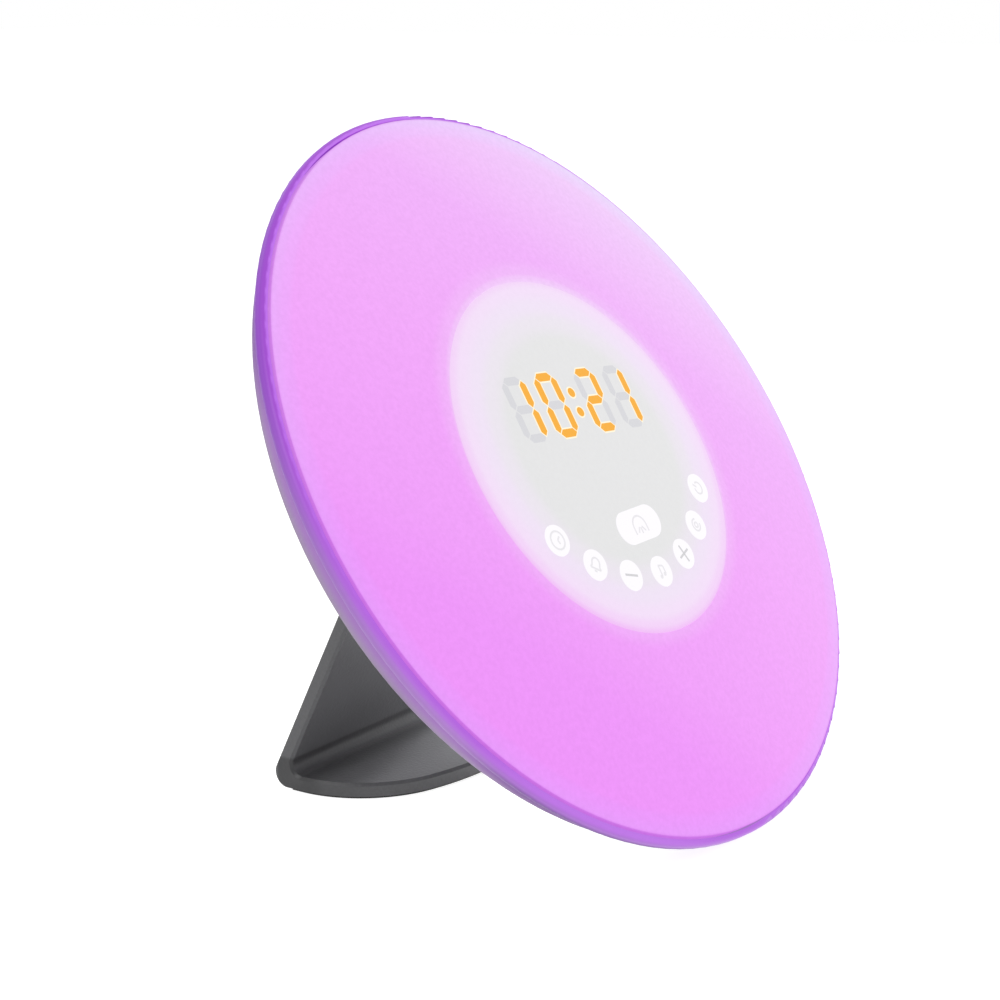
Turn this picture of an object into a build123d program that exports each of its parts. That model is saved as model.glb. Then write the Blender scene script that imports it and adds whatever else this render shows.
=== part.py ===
"""Sunrise alarm clock: a lit saucer with a digit window and touch keys, on a plug-in V stand.

Millimetres, +Z up. The face looks towards -Y and leans back. The origin is on the table, under
the middle of the whole clock. The head is drawn in the face plane: x to the right, v up the face
and w out of the face, with w = 0 at the seam between the diffuser and the rim ring.
"""

import os
from math import asin, atan2, cos, degrees, radians, sin, sqrt, tan

from build123d import *

# ---- driving dimensions: head ------------------------------------------------------------
rim_r = 85.0  # outer radius of the saucer
lean_back = 33.0  # face from the vertical, degrees
dome_rise = 5.2  # front dome above the seam
back_depth = 26.0  # flat back behind the seam
skin = 2.0  # wall of every moulded skin
lip = 1.25  # from the outer radius in to the seam
seam_gap = 0.35
rim_height = 3.6  # rim ring behind the seam
rim_round = 1.2  # rounding of the rim ring's edges
shell_step = 0.8  # rear shell inside the rim ring
fit_gap = 0.1  # between nested pieces of the head
moving_gap = 0.3  # between pieces that move on each other

# ---- driving dimensions: display and keys -------------------------------------------------
window_r = 41.0
baffle_wall = 1.6
panel_depth = 5.0  # front of the display board behind the seam
board_t = 1.6
marks_x = 1.0  # middle of the digits and keys, right of the window's
key_r = 3.4
key_margin = 5.7  # from the window's edge in to the arc of keys
key_arc_v = 6.8  # centre of the arc of keys
key_pitch = 17.5  # degrees along the arc
lamp_key_size = (15.6, 7.4)
lamp_key_rise = 10.9  # above the lowest key
row_margin = 19.5  # from the window's edge in to the ends of the digit row
digit_gap = 3.0
digit_ratio = 1.97  # height over width
digit_v = 11.5
digit_turn = -5.0  # the display sits turned clockwise
segment_w = 1.9
segment_split = 0.4
colon_gap = 6.4  # between the two middle digits
colon_r = 1.1
colon_rise = 2.3

# ---- driving dimensions: light and electronics --------------------------------------------
dish_depth = 12.0  # floor of the reflector behind the seam
dish_wall = 1.6
dish_clear = 2.2  # under the reflector's floor, at its edge
led_size = 5.0
led_height = 1.6
led_count = 12
stand_off = 2.4  # main board behind the display shelf
speaker_r = 18.0
magnet_r = 10.5
cell_r = 10.0
cell_t = 3.2
cover_rim = 3.5  # cover beyond the cell
cover_t = 1.8
back_margin = 4.8  # flat back beyond the cover
inlet_clear = 1.0  # between the inlet's body and the sleeve of the stand's plug
inlet_nose_r = 3.7
inlet_bore_r = 2.75
inlet_pin_r = 0.65
screw_r = 1.3
screw_head_r = 2.7

# ---- driving dimensions: stand ------------------------------------------------------------
stand_half = 36.0
leg_t = 3.0
leg_lean = 26.5  # leg from the vertical, leaning over the base, degrees
leg_meets_v = 7.5  # rear face of the leg on the flat back
tongue_half = 18.0
heel_round = 3.2
heel_fillet = 2.6
base_corner_r = 24.0
base_front_r = 64.0
pad_t = 1.2
pad_sink = 0.6
pad_inset = 0.8
inner_bevel = 0.6  # along the inner edges of the leg and base

# ---- derived: planes ----------------------------------------------------------------------
ct, st = cos(radians(lean_back)), sin(radians(lean_back))
plug_angle = lean_back + leg_lean  # between the leg and the face plane
cp, sp = cos(radians(plug_angle)), sin(radians(plug_angle))
fold = radians(90 - leg_lean)  # inside angle of the V

rim_centre_r = rim_r - rim_round
centre_z = rim_centre_r * ct + (rim_height - rim_round) * st + rim_round
front_y = -rim_centre_r * st + rim_round * ct - rim_round
sole_z = pad_t - pad_sink
anchor_y = leg_meets_v * st + back_depth * ct
anchor_z = centre_z + leg_meets_v * ct - back_depth * st
corner_y = anchor_y + (anchor_z - sole_z) * tan(radians(leg_lean))
heel_centre_y = corner_y - heel_round / tan(fold / 2)
heel_y = heel_centre_y + heel_round
centre_y = -(front_y + heel_y) / 2

face = Plane(origin=(0, centre_y, centre_z), x_dir=(1, 0, 0), z_dir=(0, -ct, st))
outward = face.z_dir

# ---- derived: surfaces --------------------------------------------------------------------
diffuser_r = rim_r - lip
dome_r = (diffuser_r**2 + dome_rise**2) / (2 * dome_rise)
skin_back = back_depth - skin
shell_r = rim_r - shell_step
shell_in_r = shell_r - skin
sleeve_wall = 1.6
sleeve_side = leg_t / 2 + moving_gap + sleeve_wall
board_front = panel_depth + board_t + dish_wall + stand_off
board_rear = board_front + board_t
sleeve_end = (back_depth - board_rear - 2.0 - sleeve_side * cp) / sp
tongue_len = sleeve_end - sleeve_wall - moving_gap
leg_mid_v = leg_meets_v - leg_t / 2 / sp
cover_r = cell_r + cover_rim
recess_r = cover_r + moving_gap
battery_v = leg_mid_v + sleeve_side * sp + sleeve_end * cp + recess_r
back_r = battery_v + recess_r + back_margin
shell_b = back_depth / sqrt(1 - (back_r / shell_r) ** 2)
shell_in_b = shell_b - skin

cup_r = window_r + 0.5
shelf_r = cup_r - dish_wall
display_board_r = window_r - 1.2
dish_lip = 1.1  # outer corner of the reflector's floor beyond its inner one
floor_edge = (dish_depth + dish_wall + dish_clear) / shell_in_b
floor_r = shell_in_r * sqrt(1 - floor_edge**2) - dish_lip
flange_r = rim_r - 5.7
flange_top = 4.0
boss_r = (cup_r + floor_r) / 2
board_in_r = window_r + 5.0
board_out_r = floor_r - 1.0
speaker_v = -(speaker_r + 2.0)
inner_board_r = shelf_r - 1.1
key_arc_r = window_r - key_margin
lamp_key_at = (marks_x, key_arc_v - key_arc_r + lamp_key_rise)
row_half = window_r - row_margin
digit_w = (row_half - colon_gap / 2 - digit_gap) / 2
digit_h = digit_ratio * digit_w


def dome(r, sunk=0.0):
    """Height w of the front dome at radius r, or of the surface sunk below it."""
    return dome_rise - dome_r + sqrt((dome_r - sunk) ** 2 - r**2)


def half_section(x=0.0, v=0.0):
    """Plane of radius and w through the axis at (x, v), for turned shapes."""
    return Plane(origin=face.from_local_coords((x, v, 0)), x_dir=(1, 0, 0), z_dir=-face.y_dir)


def axis_at(x=0.0, v=0.0):
    return Axis(face.from_local_coords((x, v, 0)), outward)


def ring_profile(*points, at=(0.0, 0.0)):
    """Closed polygon of (radius, w) points in the half section at a place on the face."""
    with BuildSketch(half_section(*at)) as profile:
        with BuildLine():
            Polyline(*points, close=True)
        make_face()
    return profile.sketch


def shell_profile(r_in, r_out, top, bottom):
    """Strip between two depths of the dome, from r_in to r_out."""
    mid = (r_in + r_out) / 2
    with BuildSketch(half_section()) as profile:
        with BuildLine():
            upper = ThreePointArc(
                (r_in, dome(r_in, top)), (mid, dome(mid, top)), (r_out, dome(r_out, top))
            )
            lower = ThreePointArc(
                (r_in, dome(r_in, bottom)), (mid, dome(mid, bottom)), (r_out, dome(r_out, bottom))
            )
            Line(upper @ 0, lower @ 0)
            Line(upper @ 1, lower @ 1)
        make_face()
    return profile.sketch


def polar(radius, angle):
    """(x, v) at a radius and an angle in degrees round the face."""
    return radius * cos(radians(angle)), radius * sin(radians(angle))


def key_place(index):
    """Centre of key number index, counted along the arc from the left."""
    x, v = polar(key_arc_r, (index - 3) * key_pitch - 90)
    return marks_x + x, key_arc_v + v


def save(part, name):
    part.label = name
    export_step(part, f"parts/{name}.step")


os.makedirs("parts", exist_ok=True)

# ---- front diffuser: opal dome with a hold-down rib and snap tabs --------------------------
tab_count = 6
tab_r = rim_r - 9.1
tab_t = 1.4
tab_w = 8.0
hook = 0.7
hook_height = 1.2
flange_bottom = flange_top + dish_wall
rib_r = flange_r - 1.5

with BuildPart() as front_diffuser:
    revolve(shell_profile(window_r + fit_gap, diffuser_r - seam_gap, 0, skin), axis=axis_at())
    revolve(
        ring_profile(
            (rib_r, -flange_top + fit_gap),
            (rib_r + 1.2, -flange_top + fit_gap),
            (rib_r + 1.2, dome(rib_r, skin) + 0.3),
            (rib_r, dome(rib_r, skin) + 0.3),
        ),
        axis=axis_at(),
    )
    with BuildSketch(face.offset(-flange_bottom - fit_gap - hook_height)):
        with PolarLocations(tab_r, tab_count, start_angle=30):
            Rectangle(tab_t, tab_w)
    extrude(until=Until.NEXT)
    with BuildSketch(face.offset(-flange_bottom - fit_gap)):
        with PolarLocations(tab_r + (tab_t + hook) / 2, tab_count, start_angle=30):
            Rectangle(hook, tab_w)
    extrude(amount=-hook_height)
save(front_diffuser.part, "front_diffuser")

# ---- rim ring: round-edged band that seats the diffuser ------------------------------------
ring_in_r = rim_r - 4.4

with BuildPart() as rim_ring:
    with BuildSketch(half_section()):
        with BuildLine():
            Line((diffuser_r, -skin - fit_gap), (diffuser_r, -seam_gap))
            Line((diffuser_r, -seam_gap), (rim_centre_r, -seam_gap))
            CenterArc((rim_centre_r, -seam_gap - rim_round), rim_round, 90, -90)
            Line((rim_r, -seam_gap - rim_round), (rim_r, rim_round - rim_height))
            CenterArc((rim_centre_r, rim_round - rim_height), rim_round, 0, -90)
            Polyline(
                (rim_centre_r, -rim_height),
                (ring_in_r, -rim_height),
                (ring_in_r, -skin - fit_gap),
                (diffuser_r, -skin - fit_gap),
            )
        make_face()
    revolve(axis=axis_at())
save(rim_ring.part, "rim_ring")

# ---- display window and the touch keys set flush into it -----------------------------------
key_names = ("clock", "alarm", "minus", "sound", "plus", "colour", "power")
key_places = [key_place(index) for index in range(len(key_names))]
key_proud = 0.15
key_gap = 0.05

with BuildPart() as display_window:
    revolve(shell_profile(0, window_r, 0, skin), axis=axis_at())
    with BuildSketch(face):
        with Locations(*key_places):
            Circle(key_r + key_gap)
        with Locations(lamp_key_at):
            SlotOverall(lamp_key_size[0] + 2 * key_gap, lamp_key_size[1] + 2 * key_gap)
    extrude(amount=2 * dome_rise, both=True, mode=Mode.SUBTRACT)
save(display_window.part, "display_window")


def inlay(outline):
    """Key of the window's own curve, standing a hair proud of it."""
    with BuildPart() as key:
        extrude(outline, amount=2 * dome_rise)
        revolve(
            shell_profile(0, window_r, -key_proud, skin), axis=axis_at(), mode=Mode.INTERSECT
        )
    return key.part


for place, name in zip(key_places, key_names):
    with BuildSketch(face) as disc:
        with Locations(place):
            Circle(key_r)
    save(inlay(disc.sketch), f"key_{name}")

with BuildSketch(face) as bar:
    with Locations(lamp_key_at):
        SlotOverall(*lamp_key_size)
save(inlay(bar.sketch), "key_lamp")

# ---- light baffle: tube and flange between the display and the lit ring --------------------
baffle_in_r = display_board_r - baffle_wall
baffle_flange = 1.2
baffle_reach = 3.0
seat = skin + 0.05  # depth below the dome of what bears on the inside of the front

with BuildPart() as light_baffle:
    revolve(
        shell_profile(baffle_in_r, window_r + baffle_reach, seat, seat + baffle_flange),
        axis=axis_at(),
    )
    revolve(
        ring_profile(
            (baffle_in_r, -panel_depth),
            (display_board_r, -panel_depth),
            (display_board_r, dome(display_board_r, seat + 0.5)),
            (baffle_in_r, dome(baffle_in_r, seat + 0.5)),
        ),
        axis=axis_at(),
    )
save(light_baffle.part, "light_baffle")

# ---- digit module: four seven-segment digits and a colon -----------------------------------
module_margin = 3.0
module_w = 2 * row_half + 2 * module_margin
module_h = digit_h + 2 * module_margin
module_top = dome(baffle_in_r, seat) - 0.1
segment_depth = 0.8
inner_digit_x = (colon_gap + digit_w) / 2
outer_digit_x = inner_digit_x + digit_w + digit_gap
row_x, row_v = polar(1, digit_turn)
module_plane = Plane(
    origin=face.from_local_coords((marks_x, digit_v, 0)),
    x_dir=face.x_dir * row_x + face.y_dir * row_v,
    z_dir=outward,
)


def segment(length):
    """Bar with pointed ends, along x."""
    end, side = length / 2, segment_w / 2
    with BuildSketch() as outline:
        with BuildLine():
            Polyline(
                (-end, 0),
                (side - end, side),
                (end - side, side),
                (end, 0),
                (end - side, -side),
                (side - end, -side),
                close=True,
            )
        make_face()
    return outline.sketch


bar_x = (digit_w - segment_w) / 2
bar_v = (digit_h - segment_w) / 2
with BuildSketch() as digit:
    with Locations((0, 0), (0, bar_v), (0, -bar_v)):
        add(segment(2 * bar_x - segment_split))
    with GridLocations(2 * bar_x, bar_v, 2, 2):
        add(segment(bar_v - segment_split), rotation=90)

with BuildSketch(module_plane.offset(module_top - segment_depth)) as digit_marks:
    for x in (-outer_digit_x, -inner_digit_x, inner_digit_x, outer_digit_x):
        with Locations((x, 0)):
            add(digit.sketch)
    with Locations((0, colon_rise), (0, -colon_rise)):
        Circle(colon_r)

with BuildPart() as digit_segments:
    extrude(digit_marks.sketch, amount=segment_depth)
save(digit_segments.part, "digit_segments")

with BuildPart() as digit_module:
    with BuildSketch(module_plane.offset(-panel_depth)):
        RectangleRounded(module_w, module_h, 1.5)
    extrude(amount=panel_depth + module_top)
    extrude(digit_marks.sketch, amount=segment_depth, mode=Mode.SUBTRACT)
save(digit_module.part, "digit_module")

# ---- display board and the touch pads that stand on it -------------------------------------
shelf_top = panel_depth + board_t
touch_size = 4.4

with BuildPart() as display_board:
    with BuildSketch(face.offset(-shelf_top)):
        Circle(display_board_r)
    extrude(amount=board_t)
save(display_board.part, "display_board")

with BuildPart() as touch_pads:
    with BuildSketch(face.offset(-panel_depth)):
        with Locations(*key_places, lamp_key_at):
            Rectangle(touch_size, touch_size)
    extrude(amount=panel_depth + dome_rise)
    revolve(
        shell_profile(0, window_r, seat, seat + panel_depth + dome_rise),
        axis=axis_at(),
        mode=Mode.INTERSECT,
    )
save(touch_pads.part, "touch_pads")

# ---- reflector dish: white carrier of the boards -------------------------------------------
shelf_under = shelf_top + dish_wall
dish_under = dish_depth + dish_wall
tab_clear = 0.5
dish_side_r = tab_r - tab_t / 2 - tab_clear - dish_lip
boss_length = 3.4
tower_top = dish_under + boss_length
boss_wall = 3.4
pilot_r = screw_r + 0.05
stake_count = 4
stake_r = 1.1
stake_place_r = board_out_r - 2.6
stake_angle = 7.5
post_r = 2.8
board_screw_r = 0.9
board_screw_margin = 4.5  # from the main board's edge in to its screws
board_screw_at = [polar(inner_board_r - board_screw_margin, angle) for angle in (-4, 52, 128, 184)]
board_screw_bite = 0.8  # how far the pilot holes run into the shelf
link_size = (12.0, 5.0)
link_v = 8.0

with BuildPart() as reflector_dish:
    revolve(
        ring_profile(
            (0, -shelf_top),
            (cup_r, -shelf_top),
            (cup_r, -dish_depth),
            (floor_r, -dish_depth),
            (dish_side_r, -flange_top),
            (flange_r, -flange_top),
            (flange_r, -flange_bottom),
            (dish_side_r + dish_lip, -flange_bottom),
            (floor_r + dish_lip, -dish_under),
            (shelf_r, -dish_under),
            (shelf_r, -shelf_under),
            (0, -shelf_under),
        ),
        axis=axis_at(),
    )
    with BuildSketch(face.offset(-flange_top)):
        with PolarLocations(tab_r - 0.05, tab_count, start_angle=30):
            Rectangle(tab_t + 0.5, tab_w + 0.6)
    extrude(amount=-dish_wall, mode=Mode.SUBTRACT)
    with BuildSketch(face.offset(-dish_under)):
        with PolarLocations(boss_r, 4, start_angle=45):
            Circle(boss_wall)
    extrude(amount=-boss_length)
    with BuildSketch(face.offset(-tower_top)):
        with PolarLocations(boss_r, 4, start_angle=45):
            Circle(pilot_r)
    extrude(amount=boss_length, mode=Mode.SUBTRACT)
    with BuildSketch(face.offset(-shelf_under)):
        with Locations(*board_screw_at):
            Circle(post_r)
    extrude(amount=-stand_off)
    with BuildSketch(face.offset(-board_front)):
        with Locations(*board_screw_at):
            Circle(board_screw_r + 0.05)
    extrude(amount=stand_off + board_screw_bite, mode=Mode.SUBTRACT)
    with BuildSketch(face.offset(-shelf_top)):
        with Locations((0, link_v)):
            Rectangle(link_size[0] + 1, link_size[1] + 1)
    extrude(amount=-dish_wall, mode=Mode.SUBTRACT)
    with BuildSketch(face.offset(-dish_depth)):
        with PolarLocations(stake_place_r, stake_count, start_angle=stake_angle):
            Circle(stake_r)
    extrude(amount=board_t)
save(reflector_dish.part, "reflector_dish")

# ---- light ring: board, colour lamps and white lamps ---------------------------------------
ring_width = board_out_r - board_in_r

with BuildPart() as led_ring_board:
    with BuildSketch(face.offset(-dish_depth)):
        Circle(board_out_r)
        Circle(board_in_r, mode=Mode.SUBTRACT)
        with PolarLocations(stake_place_r, stake_count, start_angle=stake_angle):
            Circle(stake_r + fit_gap, mode=Mode.SUBTRACT)
    extrude(amount=board_t)
save(led_ring_board.part, "led_ring_board")


def lamps(radius, start_angle):
    """Ring of square lamp packages on the light ring."""
    with BuildPart() as ring:
        with BuildSketch(face.offset(board_t - dish_depth)):
            with PolarLocations(radius, led_count, start_angle=start_angle):
                Rectangle(led_size, led_size)
        extrude(amount=led_height)
    return ring.part


half_pitch = 180 / led_count
save(lamps(board_in_r + 2 * ring_width / 3, half_pitch), "colour_lamps")
save(lamps(board_in_r + ring_width / 3, 0), "white_lamps")

# ---- main board and what is soldered to it --------------------------------------------------
board_low_v = speaker_v + magnet_r + 2.0
chip_at = polar(inner_board_r - 10, 34)
chip_size = 9.0
chip_height = 1.4
capacitor_x = inner_board_r - 14.8
capacitor_at = ((capacitor_x, -1), (-capacitor_x, -1))
capacitor_r = 3.15
capacitor_height = 7.0
socket_v = speaker_v + speaker_r + 3.5
socket_at = ((10, socket_v), (-10, socket_v))
socket_size = (7.5, 5.0)
socket_height = 5.5
socket_wall = 0.8
socket_hole = 4.0
board_screw_head = (2.0, 1.5)

with BuildPart() as main_board:
    with BuildSketch(face.offset(-board_rear)):
        Circle(inner_board_r)
        with Locations((0, board_low_v)):
            Rectangle(
                2 * inner_board_r,
                2 * inner_board_r,
                align=(Align.CENTER, Align.MIN),
                mode=Mode.INTERSECT,
            )
        with Locations(*board_screw_at):
            Circle(board_screw_r + fit_gap, mode=Mode.SUBTRACT)
    extrude(amount=board_t)
save(main_board.part, "main_board")

with BuildPart() as board_screws:
    with BuildSketch(face.offset(-board_rear)):
        with Locations(*board_screw_at):
            Circle(board_screw_head[0])
    extrude(amount=-board_screw_head[1])
    with BuildSketch(face.offset(-board_rear)):
        with Locations(*board_screw_at):
            Circle(board_screw_r)
    extrude(amount=board_t + stand_off)
save(board_screws.part, "board_screws")

with BuildPart() as link_header:
    with BuildSketch(face.offset(-board_front)):
        with Locations((0, link_v)):
            Rectangle(*link_size)
    extrude(amount=board_front - shelf_top)
save(link_header.part, "link_header")

with BuildPart() as controller_chip:
    with BuildSketch(face.offset(-board_rear)):
        with Locations(chip_at):
            Rectangle(chip_size, chip_size)
    extrude(amount=-chip_height)
save(controller_chip.part, "controller_chip")

with BuildPart() as capacitors:
    with BuildSketch(face.offset(-board_rear)):
        with Locations(*capacitor_at):
            Circle(capacitor_r)
    extrude(amount=-capacitor_height)
save(capacitors.part, "capacitors")

with BuildPart() as wire_sockets:
    with BuildSketch(face.offset(-board_rear)):
        with Locations(*socket_at):
            Rectangle(*socket_size)
    extrude(amount=-socket_height)
    with BuildSketch(face.offset(-board_rear - socket_height)):
        with Locations(*socket_at):
            Rectangle(socket_size[0] - 2 * socket_wall, socket_size[1] - 2 * socket_wall)
    extrude(amount=socket_hole, mode=Mode.SUBTRACT)
save(wire_sockets.part, "wire_sockets")

# ---- power inlet: barrel socket through the back --------------------------------------------
inlet_body = 8.6
inlet_x = -(tongue_half + moving_gap + sleeve_wall + inlet_clear + inlet_body / 2)
inlet_reach = inner_board_r - 0.9  # of the far corner of the inlet's body
inlet_v = sqrt(inlet_reach**2 - (inlet_body / 2 - inlet_x) ** 2) - inlet_body / 2
inlet_at = (inlet_x, inlet_v)
inlet_end = back_depth - 0.3
inlet_bore = 9.0

with BuildPart() as power_inlet:
    with BuildSketch(face.offset(-board_rear)):
        with Locations(inlet_at):
            Rectangle(inlet_body, inlet_body)
    extrude(amount=board_rear - skin_back)
    with BuildSketch(face.offset(-skin_back)):
        with Locations(inlet_at):
            Circle(inlet_nose_r)
    extrude(amount=skin_back - inlet_end)
    with BuildSketch(face.offset(-inlet_end)):
        with Locations(inlet_at):
            Circle(inlet_bore_r)
    extrude(amount=inlet_bore, mode=Mode.SUBTRACT)
save(power_inlet.part, "power_inlet")

with BuildPart() as inlet_pin:
    with BuildSketch(face.offset(inlet_bore - inlet_end)):
        with Locations(inlet_at):
            Circle(inlet_pin_r)
    extrude(amount=1 - inlet_bore)
save(inlet_pin.part, "inlet_pin")

# ---- speaker: gasket, basket, magnet and cone ------------------------------------------------
gasket_t = 0.8
speaker_back = skin_back - gasket_t
basket_drop = 6.7
basket_floor = speaker_back - basket_drop
plate_t = 1.0
coil_r = 4.0
cone_rim_r = speaker_r - 1.8
at_speaker = (0, speaker_v)

with BuildPart() as speaker_gasket:
    with BuildSketch(face.offset(-skin_back)):
        with Locations(at_speaker):
            Circle(speaker_r)
            Circle(cone_rim_r + 0.2, mode=Mode.SUBTRACT)
    extrude(amount=gasket_t)
save(speaker_gasket.part, "speaker_gasket")

with BuildPart() as speaker_basket:
    revolve(
        ring_profile(
            (speaker_r - 2.6, -speaker_back),
            (speaker_r, -speaker_back),
            (speaker_r, plate_t - speaker_back),
            (speaker_r - 1.6, plate_t - speaker_back),
            (magnet_r + 0.8, plate_t - basket_floor),
            (0, plate_t - basket_floor),
            (0, -basket_floor),
            (magnet_r, -basket_floor),
            (speaker_r - 2.6, 0.4 - speaker_back),
            at=at_speaker,
        ),
        axis=axis_at(*at_speaker),
    )
    with BuildSketch(face.offset(1.7 - speaker_back)):
        with Locations(at_speaker):
            with PolarLocations((speaker_r + magnet_r) / 2, 4, start_angle=45):
                Rectangle(speaker_r - magnet_r, 9)
    extrude(amount=basket_drop - 2.6, mode=Mode.SUBTRACT)
save(speaker_basket.part, "speaker_basket")

with BuildPart() as speaker_magnet:
    with BuildSketch(face.offset(plate_t - basket_floor)):
        with Locations(at_speaker):
            Circle(magnet_r)
    extrude(amount=basket_floor - plate_t - shelf_under - 1.6)
    chamfer(speaker_magnet.edges().group_by(Axis(face.origin, outward))[-1], 0.6)
save(speaker_magnet.part, "speaker_magnet")

with BuildPart() as speaker_cone:
    revolve(
        ring_profile(
            (0, 2.6 - speaker_back),
            (2.6, 2.9 - speaker_back),
            (coil_r + 0.6, 4.0 - speaker_back),
            (speaker_r - 3.6, -speaker_back),
            (cone_rim_r, -speaker_back),
            (cone_rim_r, -speaker_back - 0.4),
            (speaker_r - 3.6, -speaker_back - 0.4),
            (coil_r + 0.6, 3.3 - speaker_back),
            (2.6, 2.3 - speaker_back),
            (0, 2.0 - speaker_back),
            at=at_speaker,
        ),
        axis=axis_at(*at_speaker),
    )
    revolve(
        ring_profile(
            (coil_r - 0.4, 3.4 - speaker_back),
            (coil_r, 3.4 - speaker_back),
            (coil_r, -basket_floor - 0.1),
            (coil_r - 0.4, -basket_floor - 0.1),
            at=at_speaker,
        ),
        axis=axis_at(*at_speaker),
    )
save(speaker_cone.part, "speaker_cone")

# ---- backup battery: cell, contacts and twist-off cover --------------------------------------
at_battery = (0, battery_v)
cover_out = back_depth - 0.2
cover_in = cover_out - cover_t
ledge_out = cover_in - moving_gap
ledge_in = ledge_out - 0.9
lug_t = 0.9
lug_in = ledge_in - moving_gap - lug_t
undercut_in = lug_in - moving_gap
spigot_r = cell_r + 1.6
spigot_in_r = cell_r + 0.4
lug_r = spigot_r + 1.0
lug_w = 4.0
lug_count = 3
unlock_turn = 40.0
cell_out = cover_in - 1.1
cell_in = cell_out - cell_t
well_floor = cell_in - 1.0
pocket_r = cell_r + moving_gap
undercut_r = lug_r + 0.4
side_contact_t = 0.7
side_contact_w = 4.0
side_contact_at = (-cell_r - fit_gap - side_contact_t / 2, battery_v)
base_tail_at = (5.0, battery_v)
tail_r = 0.6  # solder tails of the contacts

with BuildPart() as coin_cell:
    revolve(
        ring_profile(
            (0, -cell_out),
            (cell_r - 0.3, -cell_out),
            (cell_r, 0.3 - cell_out),
            (cell_r, -cell_in - 0.5),
            (cell_r - 1.0, -cell_in - 0.5),
            (cell_r - 1.3, -cell_in),
            (0, -cell_in),
            at=at_battery,
        ),
        axis=axis_at(*at_battery),
    )
save(coin_cell.part, "coin_cell")

with BuildPart() as cell_contact_base:
    revolve(
        ring_profile(
            (0, 0.05 - cell_in),
            (1.5, 0.05 - cell_in),
            (4.2, -well_floor - 0.4),
            (6.0, -well_floor - 0.4),
            (6.0, -well_floor),
            (0, -well_floor),
            at=at_battery,
        ),
        axis=axis_at(*at_battery),
    )
    with BuildSketch(face.offset(-well_floor)):
        with Locations(base_tail_at):
            Circle(tail_r)
    extrude(amount=well_floor - board_rear)
save(cell_contact_base.part, "cell_contact_base")

with BuildPart() as cell_contact_side:
    with BuildSketch(face.offset(-undercut_in)):
        with Locations(side_contact_at):
            Rectangle(side_contact_t, side_contact_w)
    extrude(amount=undercut_in - well_floor)
    with BuildSketch(face.offset(-well_floor)):
        with Locations(side_contact_at):
            Rectangle(side_contact_t, 2 * tail_r)
    extrude(amount=well_floor - board_rear)
save(cell_contact_side.part, "cell_contact_side")

with BuildPart() as battery_cover:
    revolve(
        ring_profile(
            (0, -cover_out),
            (cover_r - 0.4, -cover_out),
            (cover_r, 0.4 - cover_out),
            (cover_r, -cover_in),
            (spigot_r, -cover_in),
            (spigot_r, -lug_in),
            (spigot_in_r, -lug_in),
            (spigot_in_r, -cover_in),
            (3.0, -cover_in),
            (3.0, -cell_out - moving_gap),
            (0, -cell_out - moving_gap),
            at=at_battery,
        ),
        axis=axis_at(*at_battery),
    )
    with BuildSketch(face.offset(-lug_in)):
        with Locations(at_battery):
            with PolarLocations((spigot_in_r + lug_r) / 2, lug_count, start_angle=90):
                Rectangle(lug_r - spigot_in_r, lug_w)
    extrude(amount=-lug_t)
    with BuildSketch(face.offset(-cover_out)):
        with Locations(at_battery):
            SlotOverall(1.15 * cell_r, 2.2)
    extrude(amount=0.9, mode=Mode.SUBTRACT)
save(battery_cover.part, "battery_cover")

# ---- stand: the line of its leg in the head ---------------------------------------------------
side_plane = Plane(origin=face.origin, x_dir=face.y_dir, z_dir=(1, 0, 0))


def leg_point(distance, side):
    """(v, w) at a distance up the leg from the flat back, and to the side of its mid-plane."""
    return leg_mid_v + distance * cp - side * sp, -back_depth + distance * sp + side * cp


def leg_slab(half_t, half_w, start, end):
    """Box along the leg, from start to end, as a solid."""
    with BuildPart() as slab:
        with BuildSketch(side_plane):
            with BuildLine():
                Polyline(
                    leg_point(start, -half_t),
                    leg_point(start, half_t),
                    leg_point(end, half_t),
                    leg_point(end, -half_t),
                    close=True,
                )
            make_face()
        extrude(amount=half_w, both=True)
    return slab.part


slot_t = leg_t / 2 + moving_gap
slot_w = tongue_half + moving_gap
detent_at = 0.6 * tongue_len
detent_rise = 0.7 * moving_gap
detent_r = 0.8
detent_half = 5.0


def detent(extra):
    """Round ridge across the rear face of the tongue, grown by extra."""
    centre = leg_point(detent_at, detent_r - leg_t / 2 - detent_rise)
    with BuildPart() as ridge:
        with BuildSketch(side_plane):
            with Locations(centre):
                Circle(detent_r + extra)
        extrude(amount=detent_half + extra, both=True)
    return ridge.part


# ---- rear shell: saucer with the slot, well, towers and grille ---------------------------------
tower_r = 4.4
head_seat = tower_top + 1.8
grille_r = cone_rim_r - 1.2
grille_slot = 1.8
grille_pitch = 3.6
grille_rows = 3  # on each side of the middle slot
screw_head_h = 1.9
leg_bury = 4.0  # start of the tongue inside the leg
boss_out_r = recess_r + 1.2
cup_out_r = cell_r + 2.6
well_shoulder = undercut_in - 1.2
floor_t = 1.2
rib_wall = 1.2
shelf_t = 1.6
shelf_in_r = flange_r - 1.7
nest_r = flange_r + 0.3


def saucer_profile(a, b, depth):
    """Half section of a saucer: elliptic side from the rim ring down to a flat back."""
    back_angle = degrees(asin(depth / b))
    top_angle = degrees(asin(rim_height / b))
    with BuildSketch(half_section()) as profile:
        with BuildLine():
            side = EllipticalCenterArc(
                (0, 0), a, b, start_angle=-back_angle, arc_size=back_angle - top_angle
            )
            Polyline(side @ 1, (0, -rim_height), (0, -depth), side @ 0)
        make_face()
    return profile.sketch


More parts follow.
